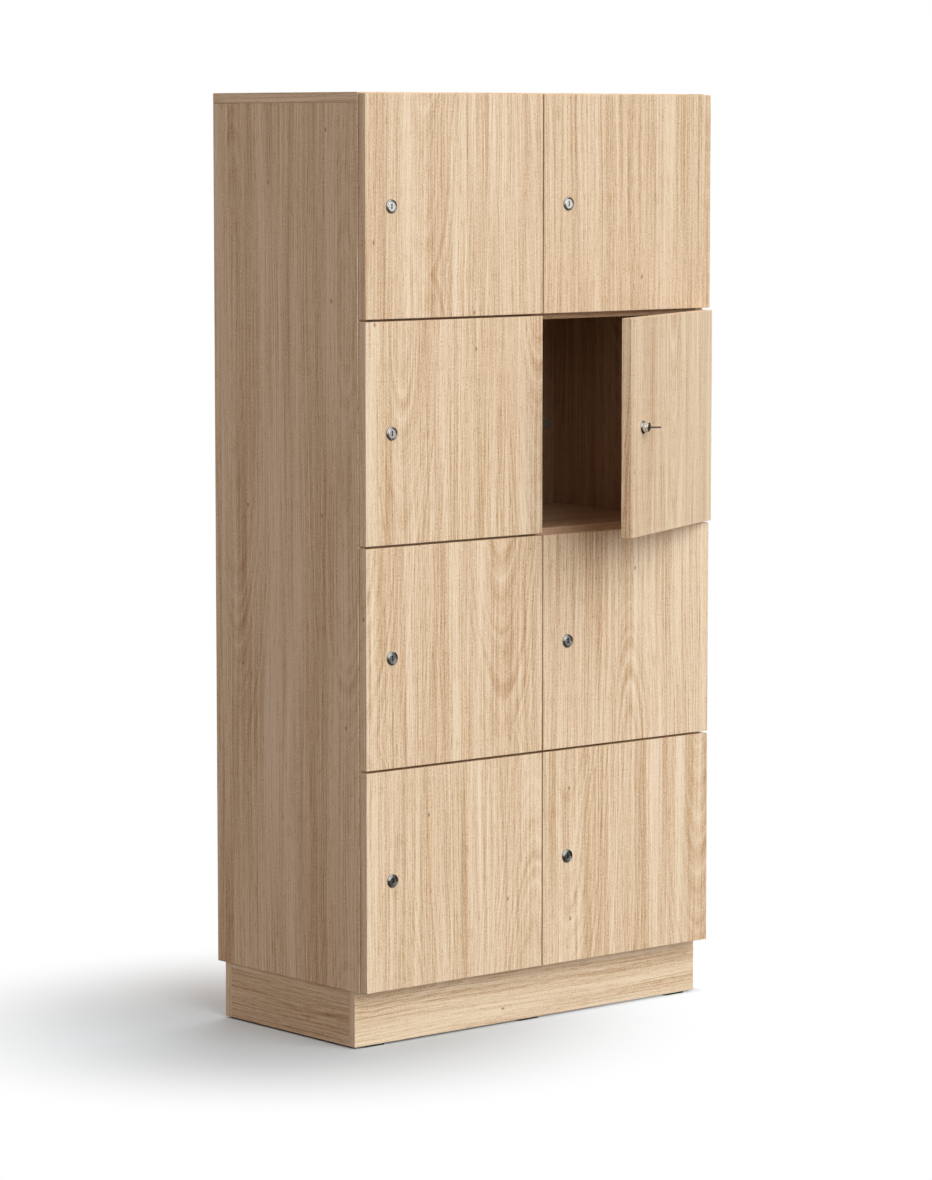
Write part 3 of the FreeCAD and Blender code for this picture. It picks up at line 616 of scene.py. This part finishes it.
# A domed head that rises along Y from 0, with a cross recess. Its foot is sunk a little
def screwHead(radius, height):
    arm, half = radius * screw["armShare"], radius * screw["slotShare"]
    floor = max(height - radius * screw["deepShare"], screw["floor"])
    cross = np.array([(half, -arm), (half, -half), (arm, -half), (arm, half), (half, half),
                      (half, arm), (-half, arm), (-half, half), (-arm, half), (-arm, -half),
                      (-half, -half), (-half, -arm)])
    bend = np.linspace(0, math.pi / 2, screw["domePoints"])
    top = radius * screw["topShare"]
    dome = np.column_stack([top + (radius - top) * np.cos(bend), height * np.sin(bend)])
    rim = circlePoints((0, 0), top, screw["points"])
    return welded(joined(lathed([(radius, -screw["sunk"]), *dome], screw["points"], ends=(True, False)),
                         flatFace([rim, cross], height, alongY), openWalls(cross, floor, height, alongY),
                         flatFace([cross], floor, alongY)))


# An edge sharper than the sharp angle is eased where the faces beside it are wide enough for the bevel,
# and stays sharp where they aren't. Triangles belong to wide flat faces, so only other faces count.
def markEdges(shell):
    weight = shell.edges.layers.float.new("bevel_weight_edge")
    for edge in shell.edges:
        if edge.calc_face_angle(0.0) > fitting["sharpAngle"]:
            start, along = edge.verts[0].co, (edge.verts[1].co - edge.verts[0].co).normalized()
            widths = [max((corner.co - start).cross(along).length for corner in face.verts)
                      for face in edge.link_faces if len(face.verts) > 3]
            eased = min(widths, default=1.0) > fitting["bevel"] * fitting["bevelRoom"] / 1000
            edge[weight] = float(eased)
            edge.smooth = eased


# A metal piece: millimetres become metres, then it is turned and set at its point, with its faces turned
# outwards. The inlay is a second, near-black metal that paints the shade in a recess, and how many of the
# last faces have it.
def addFitting(name, shape, turn, point, body, stands, material, slot="hinge_metal", shadeInlay=None):
    vertices, faces = shape
    piece = addPiece(name, vertices / 1000 @ turn + point, faces, material, body, stands, smooth=True)
    mesh = piece.data
    if shadeInlay:
        metal, count = shadeInlay
        mesh.materials.append(metal)
        isShadeInlay = np.arange(len(faces)) >= len(faces) - count
        mesh.polygons.foreach_set("material_index", isShadeInlay.astype(np.int32))
    shell = bmesh.new()
    shell.from_mesh(mesh)
    bmesh.ops.recalc_face_normals(shell, faces=shell.faces)
    markEdges(shell)
    shell.to_mesh(mesh)
    shell.free()
    ease = piece.modifiers.new("eased edges", "BEVEL")
    ease.width = fitting["bevel"] / 1000
    ease.segments = 2
    ease.limit_method = "WEIGHT"
    ease.harden_normals = True


# Locks. Depth 0 is the door's outer face, positive goes inwards
lock = {
    "rim": 12.0, "rimHeight": 2.5, "rimEdge": 0.5, "rimRound": 2.1, "rimPoints": 8,
    "lip": ((9.75, -2.5), (9.45, -2.42), (9.22, -2.2), (9.12, -1.9)),   # radius and depth, rim to bore
    "bore": 9.12, "barrel": 10.75, "length": 23.3, "chamfer": 0.5,
    "nut": 14.5, "nutFrom": 18.0, "nutTo": 21.3, "nutClearance": 0.05,
    "shutFront": -2.0, "keyedFront": -11.5,
    "face": 6.3, "faceRings": (   # radius, and depth behind the front
        (6.3, 0.0), (6.4, 0.35), (7.1, 0.35), (7.2, 0.0), (7.97, 0.0), (8.0, 0.0), (8.2, 0.08),
        (8.36, 0.26), (8.4, 0.5), (8.4, 3.5), (9.0, 3.5)),
    "slot": (2.6, 8.5), "slotDepth": 5.0, "wafer": (2.7, 1.4), "waferDepth": (0.8, 2.2),
    "plug": 9.0, "cam": 23.6, "camThickness": 2.0, "camScrew": (4.0, 2.3),
    "camHalf": ((-8, 4, 2), (-4, 8, 2), (8, 8, 6), (31, 5, 2.4), (33.5, 2.5, 2)),   # x, y, corner radius
}


# Domed rim, bored barrel and six-sided nut
def lockHousing():
    rim, bore, barrel, length = lock["rim"], lock["bore"], lock["barrel"], lock["length"]
    bend = np.linspace(0, math.pi / 2, lock["rimPoints"])
    dome = np.column_stack([rim - lock["rimRound"] * (1 - np.cos(bend)),
                            -lock["rimEdge"] - (lock["rimHeight"] - lock["rimEdge"]) * np.sin(bend)])
    body = lathed([(barrel, 0), (rim, 0), *dome, *lock["lip"], (bore, length),
                   (barrel - lock["chamfer"], length), (barrel, length - lock["chamfer"]), (barrel, 0)],
                  ends=(False, False))
    hexagon = circlePoints((0, 0), lock["nut"], 6)
    hole = circlePoints((0, 0), barrel + lock["nutClearance"], fitting["points"])
    return joined(body, pulled([hexagon, hole], lock["nutFrom"], lock["nutTo"], alongY))


# A rectangle's four corners, at plus and minus half its two sizes
def rectangle(size):
    return np.array([(-1, -1), (1, -1), (1, 1), (-1, 1)]) * np.array(size) / 2


# Plug with a ringed face and a keyway, its cam and the cam's screw. The cam points along X when unlocked.
# The keyway's walls and end are the last faces, which take the painted keyway shade, and their number is
# given too.
def lockPlug(front):
    slot, slotEnd = rectangle(lock["slot"]), front + lock["slotDepth"]
    camEnd = lock["cam"] + lock["camThickness"]
    rings = [(radius, front + depth) for radius, depth in lock["faceRings"]]
    face = flatFace([circlePoints((0, 0), lock["face"], fitting["points"]), slot], front, alongY)
    keyway = joined(openWalls(slot, front, slotEnd, alongY), flatFace([slot], slotEnd, alongY))
    body = welded(joined(lathed([*rings, (lock["plug"], lock["cam"])], ends=(False, True)), face, keyway))
    wafer = pulled([rectangle(lock["wafer"])], *(front + depth for depth in lock["waferDepth"]), alongY)
    cam = pulled([filleted(mirrored(lock["camHalf"]))], lock["cam"], camEnd, alongY)
    return joined(wafer, cam, moved(screwHead(*lock["camScrew"]), (0, camEnd, 0)), body), len(keyway[1])


# The flat key lies in the plug's Y and Z plane, its tip towards Y. Corners are (y, z, radius)
key = {
    "thickness": 2.2, "bowMiddle": -22.5, "bowRadius": 10.0, "bowPoints": 44,
    "hole": (-27.5, 2.5), "holePoints": 28, "neck": 5.0,
    "shoulder": (-11.5, 5.0, 0.6), "root": (-11.5, 3.75, 0.5),
    "tip": ((7.0, -3.75, 0.8), (10.5, 0.0, 0.8), (7.2, 3.3, 0.4)),
    "cuts": (1.0, 1.6, 0.7, 1.4), "firstCut": 5.2, "cutStep": 3.4, "cutMouth": 1.2, "cutFloor": 0.4,
    "blade": 3.75, "teeth": 3.6,
}


# A flat key: bow, neck and notched blade
def flatKey():
    opening = math.asin(key["neck"] / key["bowRadius"])
    turn = np.linspace(opening, 2 * math.pi - opening, key["bowPoints"])
    bow = arcPoints((key["bowMiddle"], 0), key["bowRadius"], turn)
    notches = []
    for step, cut in enumerate(key["cuts"]):
        middle, mouth, floor = key["firstCut"] - step * key["cutStep"], key["cutMouth"], key["cutFloor"]
        notches += [(middle + mouth, key["teeth"], 0), (middle + floor, key["blade"] - cut, 0),
                    (middle - floor, key["blade"] - cut, 0), (middle - mouth, key["teeth"], 0)]
    upper = [key["root"], key["shoulder"], (bow[0, 0], key["neck"], 0)]
    lower = [(y, -z, radius) for y, z, radius in upper[::-1]]
    outline = np.concatenate([bow[1:-1], filleted([*lower, *key["tip"], *notches, *upper])])
    hole = circlePoints((key["hole"][0], 0), key["hole"][1], key["holePoints"])
    return pulled([outline, hole], -key["thickness"] / 2, key["thickness"] / 2, alongX)


quarterTurn = np.array([(0, 0, -1), (0, 1, 0), (1, 0, 0)])   # the keyed plug stands a quarter turned
for end in doorEnds:
    keyed = end == ajarDoor["name"]
    turn, pivot = doorPlace(end)
    place = np.array(joints["plug_turn_" + end]["pos_m"])
    plugTurn = quarterTurn @ turn if keyed else turn
    plug, keywayFaces = lockPlug(lock["keyedFront"] if keyed else lock["shutFront"])
    addFitting("lock_rim_" + end, lockHousing(), turn, place, "door_" + end, ["lock_housing_" + end],
               lockRim, "lock_metal")
    # The keyway's walls and end take the near-black painted shade
    addFitting("lock_core_" + end, plug, plugTurn, place, "plug_" + end, ["lock_plug_" + end], lockPlate,
               "lock_metal", shadeInlay=(keywayPaintedShade, keywayFaces))
    if keyed:
        addFitting("flat_key", flatKey(), plugTurn, place, "key", ["key"], keyMetal, "key_metal")
print("locks made")


# Concealed hinges. The cup is drawn from the door's pivot, link, arm and plate from the arm's pivot, with
# Y into the locker. Corners are (x, y, radius)
hinge = {
    "spread": 115.0, "linkShare": -0.75, "rivet": 1.2,
    "cupMiddle": -13.5, "cupRadius": 17.5, "cupHollow": 16.7, "cupFace": 3.0, "cupDepth": 12.5,
    "cupWall": 0.8, "footRound": 2.5, "footPoints": 5, "footFlat": 0.2,
    "rim": 0.35, "rimLow": 0.1, "rimSlant": 0.15,
    "flange": 1.2, "flangeGap": 0.25, "ear": (17.0, 28.0), "earRound": 4.5,
    "bitePoints": 21, "earScrew": (3.8, 0.7), "earScrewPlace": (8.5, 22.3), "cupPin": 8.8,
    "linkWidth": 6.0, "linkGap": 0.3,
    "link": ((-3, 3, 2.9), (4.5, 3, 1.2), (12.5, -4.3, 1.2), (20.8, -4.3, 0.8), (20.8, 1.2, 2.15),
             (25.2, 1.2, 2.15), (25.2, -8.5, 2.2), (9.5, -8.5, 1.8), (-1.23, -3, 1.2), (-3, -1.23, 1.0)),
    "armWidth": 14.0, "armNose": ((-3.5, -3.5, 3.4), (3.5, -3.5, 3.4), (3.5, 5.5, 2)),
    "armCore": ((-3.5, 5.5, 0.4), (3.5, 5.5, 0.4)),
    "armBack": ((8, 14, 3), (8, 68, 0.8), (-2, 68, 3), (-2, 12, 3), (-3.5, 7.5, 2)),
    "armScrew": (3.2, 0.9), "armScrewPlace": (-2.0, (30.0, 58.0)),
    "pinHead": ((1.7, 0.3), (1.9, 0.0)),   # radius, and height beyond the arm's side
    "blockFrom": 8.02, "blockAlong": (20.0, 66.0), "blockHalf": 7.0, "blockRound": 1.5,
    "wing": 3.0, "wingGap": 0.01, "wingAlong": (33.5, 48.5), "wingHalf": 23.0, "wingRound": 6.5,
    "wingScrew": (3.8, 1.2), "wingScrewPlace": (41.0, 15.5),
}


# Pressed cup with two screwed ears and its pin
def hingeCup():
    middle, face = hinge["cupMiddle"], hinge["cupFace"]
    outer, hollow, curve = hinge["cupRadius"], hinge["cupHollow"], hinge["footRound"]
    bottom, slant, top = face - hinge["cupDepth"], hinge["rimSlant"], face + hinge["flange"]
    floor, inner = bottom + hinge["cupWall"], hollow - curve
    bend = np.linspace(0, math.pi / 2, hinge["footPoints"])
    foot = np.column_stack([inner + curve * np.sin(bend), floor + curve * (1 - np.cos(bend))])
    rimLow, rim = face + hinge["rimLow"], face + hinge["rim"]
    bowl = lathed([(inner - hinge["footFlat"], floor), *foot, (hollow, face), (hollow, rimLow),
                   (hollow + slant, rim), (outer - slant, rim), (outer, rimLow), (outer, bottom)])
    reach, height = hinge["ear"]
    corners = ((middle, height), (middle - reach, height), (middle - reach, -height), (middle, -height))
    ears = filleted([(x, z, hinge["earRound"]) for x, z in corners])
    turn = np.linspace(-math.pi / 2, -math.pi * 3 / 2, hinge["bitePoints"])
    bite = arcPoints((middle, 0), hollow + hinge["flangeGap"], turn)
    flange = pulled([np.concatenate([ears, bite])], face, top, alongY)
    inset, height = hinge["earScrewPlace"]
    screws = [moved(screwHead(*hinge["earScrew"]), (middle - inset, top, z)) for z in (height, -height)]
    pin = lathed([(hinge["rivet"], z) for z in (-hinge["cupPin"], hinge["cupPin"])], fitting["pinPoints"])
    return joined(moved(bowl, (middle, 0, 0)), flange, *screws, moved(pin, (0, 0, 0), yToUp))


# The hooked link between the two pins
def hingeLink():
    return pulled([filleted(hinge["link"])], -hinge["linkWidth"] / 2, hinge["linkWidth"] / 2)


# Arm with a forked nose, its rivet and two adjusting screws
def hingeArm():
    half, fork = hinge["armWidth"] / 2, hinge["linkWidth"] / 2 + hinge["linkGap"]
    side = filleted(hinge["armNose"] + hinge["armBack"])
    core = filleted(hinge["armCore"] + hinge["armBack"])
    across, places = hinge["armScrewPlace"]
    screws = [moved(screwHead(*hinge["armScrew"]), (across, along, 0), yToLeft) for along in places]
    head = [(radius, half + height) for radius, height in hinge["pinHead"]]
    pin = lathed([*((radius, -height) for radius, height in head), (hinge["rivet"], -half),
                  (hinge["rivet"], half), *head[::-1]], fitting["pinPoints"])
    return joined(pulled([side], fork, half), pulled([side], -half, -fork), pulled([core], -fork, fork),
                  moved(pin, (0, 0, 0), yToUp), *screws)


# Block and screwed wings between the arm and the upright, whose face is that far right of the arm's pivot
def hingePlate(wall):
    wing = wall - hinge["wing"]
    block = roundedBlock((hinge["blockFrom"], wall), hinge["blockAlong"],
                         (-hinge["blockHalf"], hinge["blockHalf"]), hinge["blockRound"])
    wings = roundedBlock((wing, wall - hinge["wingGap"]), hinge["wingAlong"],
                         (-hinge["wingHalf"], hinge["wingHalf"]), hinge["wingRound"])
    along, height = hinge["wingScrewPlace"]
    screws = [moved(screwHead(*hinge["wingScrew"]), (wing, along, z), yToLeft) for z in (height, -height)]
    return joined(block, wings, *screws)


# Lock strikes: an angle bracket behind each cam's end, its flange on the upright
strike = {"reach": {"left": 17.5, "right": 27.0}, "inset": 0.6, "thickness": 2.0, "depth": 25.0,
          "half": 9.0, "bendRound": 2.2, "insideRound": 0.5, "endRound": 0.4,
          "screw": (3.0, 0.9), "screwPlace": (15.0, 4.6)}


# Angle bracket, drawn from the upright's face and the carcass front, with two screws
def lockStrike(reach):
    front, thickness, end = strike["inset"], strike["thickness"], strike["endRound"]
    inside = front + thickness
    bracket = filleted([(0, front, strike["bendRound"]), (reach, front, end), (reach, inside, end),
                        (thickness, inside, strike["insideRound"]), (thickness, strike["depth"], end),
                        (0, strike["depth"], end)])
    depth, height = strike["screwPlace"]
    screws = [moved(screwHead(*strike["screw"]), (thickness, depth, z), yToRight)
              for z in (height, -height)]
    return joined(pulled([bracket], -strike["half"], strike["half"]), *screws)


# The shape twice, at the heights of a door's two hinges
def atBothHinges(shape):
    return joined(*[moved(shape, (0, 0, height)) for height in (hinge["spread"], -hinge["spread"])])


# The uprights' faces that carry each column's hinges and strikes, from the frame
hingeWall = {"left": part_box("centre_divider")[0][0], "right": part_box("right_side")[0][0]}
strikeWall = {"left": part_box("left_side")[1][0], "right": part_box("centre_divider")[1][0]}
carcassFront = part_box("left_side")[0][1]
arms, plates, strikes = [], [], []
for end in doorEnds:
    column = end.split("_")[0]
    turn, pivot = doorPlace(end)
    linkTurn = turnAboutZ(hinge["linkShare"] * ajarDoor["angle"] if end == ajarDoor["name"] else 0.0)
    armPivot = np.array(joints["link_turn_" + end]["pos_m"])
    addFitting("hinge_cup_pair_" + end, atBothHinges(hingeCup()), turn, pivot,
               "door_" + end, ["hinge_cups_" + end], satinNickel)
    addFitting("hinge_link_pair_" + end, atBothHinges(hingeLink()), linkTurn, armPivot,
               "links_" + end, ["hinge_links_" + end], satinNickel)
    wall = (hingeWall[column] - armPivot[0]) * 1000
    arms.append(moved(atBothHinges(hingeArm()), armPivot * 1000))
    plates.append(moved(atBothHinges(hingePlate(wall)), armPivot * 1000))
    strikePlace = np.array([strikeWall[column], carcassFront, armPivot[2]]) * 1000
    strikes.append(moved(lockStrike(strike["reach"][column]), strikePlace))
inPlace = (np.eye(3), np.zeros(3), "carcass")
addFitting("hinge_arm_set", joined(*arms), *inPlace, ["hinge_arms"], satinNickel)
addFitting("hinge_plate_set", joined(*plates), *inPlace, ["hinge_plates"], satinNickel)
addFitting("strike_set", joined(*strikes), *inPlace, ["lock_strikes"], dullZinc)
glideMaterials = frame["nodes"]["floor_glides"].data.materials
glideMaterials.clear()
glideMaterials.append(blackNylon)
print("fittings made")


# Studio: lengths in metres, directions and softness in degrees
studio = {
    "floorSize": (120.0, 120.0), "floorBounce": (0.30, 0.30, 0.30, 1.0),
    "floorShown": (0.66, 0.73, 0.775, 1.0),
    "floorMirrored": (0.08, 1.0), "mirrorFade": (3.0, 26.0), "darkSide": (0.74, 0.90), "darkSideTone": 0.10,
    "whiteFrom": (0.18, 0.76), "whiteCentre": (-0.35, 0.25, 0.0), "contactWidth": 0.03,
    "ambient": (0.16, 0.60), "ambientColour": "#ffe6d9", "backdropShown": 1.0,
    "keyStrength": 2.56, "keyColour": "#f7fdff", "keyDirection": (4.0, 27.0), "keySoftness": 63.0,
    "backStrength": 1.35, "backColour": "#ffffff", "backDirection": (122.0, 31.0), "backSoftness": 50.0,
}


# A soft distant lamp. Its direction is the bearing from the locker's front, to the right, and the height
def addSun(name):
    lamp = bpy.data.lights.new(name + " lamp", "SUN")
    lamp.energy = studio[name + "Strength"]
    lamp.color = linear(studio[name + "Colour"])[:3]
    lamp.angle = math.radians(studio[name + "Softness"])
    holder = bpy.data.objects.new(name + " lamp", lamp)
    bpy.context.scene.collection.objects.link(holder)
    bearing, height = map(math.radians, studio[name + "Direction"])
    holder.rotation_euler = (math.pi / 2 - height, 0, bearing)


# How far the camera's floor has faded to white: it grows with the distance from whiteCentre, and stays off
# under the plinth, where distance outside the plinth's outline = length of max(|place - middle| - half, 0)
def floorWhite(tree, place):
    low, high = np.array(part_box("plinth_sides"))
    middle, half = (low + high) / 2 * (1, 1, 0), (high - low) / 2
    outside = place
    for operation, other in (("SUBTRACT", middle), ("ABSOLUTE", (0, 0, 0)), ("SUBTRACT", half),
                             ("MAXIMUM", (0, 0, 0)), ("LENGTH", (0, 0, 0))):
        outside = addNode(tree, "VectorMath", (outside, other), operation=operation)
    clear = addNode(tree, "MapRange", (outside.outputs["Value"], 0.0, studio["contactWidth"]))
    away = addNode(tree, "VectorMath", (place, studio["whiteCentre"]), operation="DISTANCE")
    away = addNode(tree, "MapRange", (away.outputs["Value"], *studio["whiteFrom"]),
                   interpolation_type="SMOOTHSTEP")
    return addNode(tree, "Math", (away, clear), operation="MULTIPLY")


# A plain pale floor. The camera sees it fade to white with the shadow kept near the locker. The locks
# mirror it darker near the locker and on one side. Soft light meets a mid grey
def addFloor():
    mesh = bpy.data.meshes.new("floor")
    mesh.from_pydata([(x, y, 0) for x, y in rectangle(studio["floorSize"])], [], [(0, 1, 2, 3)])
    floor = bpy.data.objects.new("floor", mesh)
    bpy.context.scene.collection.objects.link(floor)
    material, tree, shader = newMaterial("pale studio floor")
    light = addNode(tree, "LightPath").outputs
    place = addNode(tree, "TexCoord").outputs["Object"]
    distance = addNode(tree, "VectorMath", (place,), operation="LENGTH").outputs["Value"]
    reflected = addNode(tree, "MapRange", (distance, *studio["mirrorFade"], *studio["floorMirrored"]))
    way = addNode(tree, "VectorMath", (place,), operation="NORMALIZE")
    side = addNode(tree, "MapRange", (addNode(tree, "SeparateXYZ", (way,)), *studio["darkSide"], 1.0,
                                      studio["darkSideTone"]), interpolation_type="SMOOTHSTEP")
    reflected = addNode(tree, "Math", (reflected, side), operation="MULTIPLY")
    seen = addNode(tree, "Math", (light["Is Camera Ray"], light["Is Transmission Ray"]),
                   operation="MAXIMUM")
    tone = addNode(tree, "Mix", {0: seen, 6: studio["floorBounce"], 7: studio["floorShown"]},
                   data_type="RGBA")
    tone = addNode(tree, "Mix", {0: light["Is Glossy Ray"], 6: tone.outputs[2], 7: reflected},
                   data_type="RGBA")
    diffuse = addNode(tree, "BsdfDiffuse", {"Color": tone.outputs[2]})
    white = addNode(tree, "Math", (floorWhite(tree, place), light["Is Camera Ray"]),
                    operation="MULTIPLY")
    surface = addNode(tree, "MixShader", (white, diffuse, addNode(tree, "Emission")))
    tree.links.new(surface.outputs[0], tree.nodes["Material Output"].inputs["Surface"])
    tree.nodes.remove(shader)
    mesh.materials.append(material)


# Soft light whose strength grows with height. The camera sees white, and reflections have a darker side
def lightWorld():
    world = bpy.data.worlds.new("studio")
    bpy.context.scene.world = world
    world.use_nodes = True
    tree = world.node_tree
    light = addNode(tree, "LightPath").outputs
    shown = light["Is Camera Ray"]
    for ray in ("Is Glossy Ray", "Is Transmission Ray"):
        shown = addNode(tree, "Math", (shown, light[ray]), operation="MAXIMUM")
    way = addNode(tree, "TexCoord").outputs["Generated"]
    towards = addNode(tree, "SeparateXYZ", {"Vector": way}).outputs
    soft = addNode(tree, "MapRange", (towards["Z"], 0.0, 1.0, *studio["ambient"]))
    side = addNode(tree, "MapRange", (towards["X"], *studio["darkSide"]), interpolation_type="SMOOTHSTEP")
    dark = addNode(tree, "Math", (side, light["Is Glossy Ray"]), operation="MULTIPLY")
    backdrop = addNode(tree, "MapRange", (dark, 0.0, 1.0, studio["backdropShown"], studio["darkSideTone"]))
    strength = addNode(tree, "MapRange", (shown, 0.0, 1.0, soft, backdrop))
    colour = addNode(tree, "Mix", {0: shown, 6: linear(studio["ambientColour"]), 7: (1, 1, 1, 1)},
                     data_type="RGBA")
    background = tree.nodes["Background"]
    tree.links.new(colour.outputs[2], background.inputs["Color"])
    tree.links.new(strength.outputs[0], background.inputs["Strength"])


addFloor()
lightWorld()
for name in ("key", "back"):
    addSun(name)

photoView = {
    "place": (-5.06944, -5.79391, 1.57478), "bearing": 0.70483, "tilt": 0.1046,
    "focalPixels": 4397.13, "pictureHeight": 1180, "sensor": 36.0, "farthest": 200.0,
}


# The photo's view: lens = focal length in pixels * sensor size / picture height in pixels
def addCamera():
    camera = bpy.data.cameras.new("camera")
    camera.sensor_width = photoView["sensor"]
    camera.lens = photoView["focalPixels"] * photoView["sensor"] / photoView["pictureHeight"]
    camera.clip_end = photoView["farthest"]
    holder = bpy.data.objects.new("camera", camera)
    bpy.context.scene.collection.objects.link(holder)
    holder.location = photoView["place"]
    holder.rotation_euler = (math.pi / 2 - photoView["tilt"], 0, -photoView["bearing"])
    bpy.context.scene.camera = holder


addCamera()
bpy.context.scene.view_settings.view_transform = "Standard"
print("studio set")
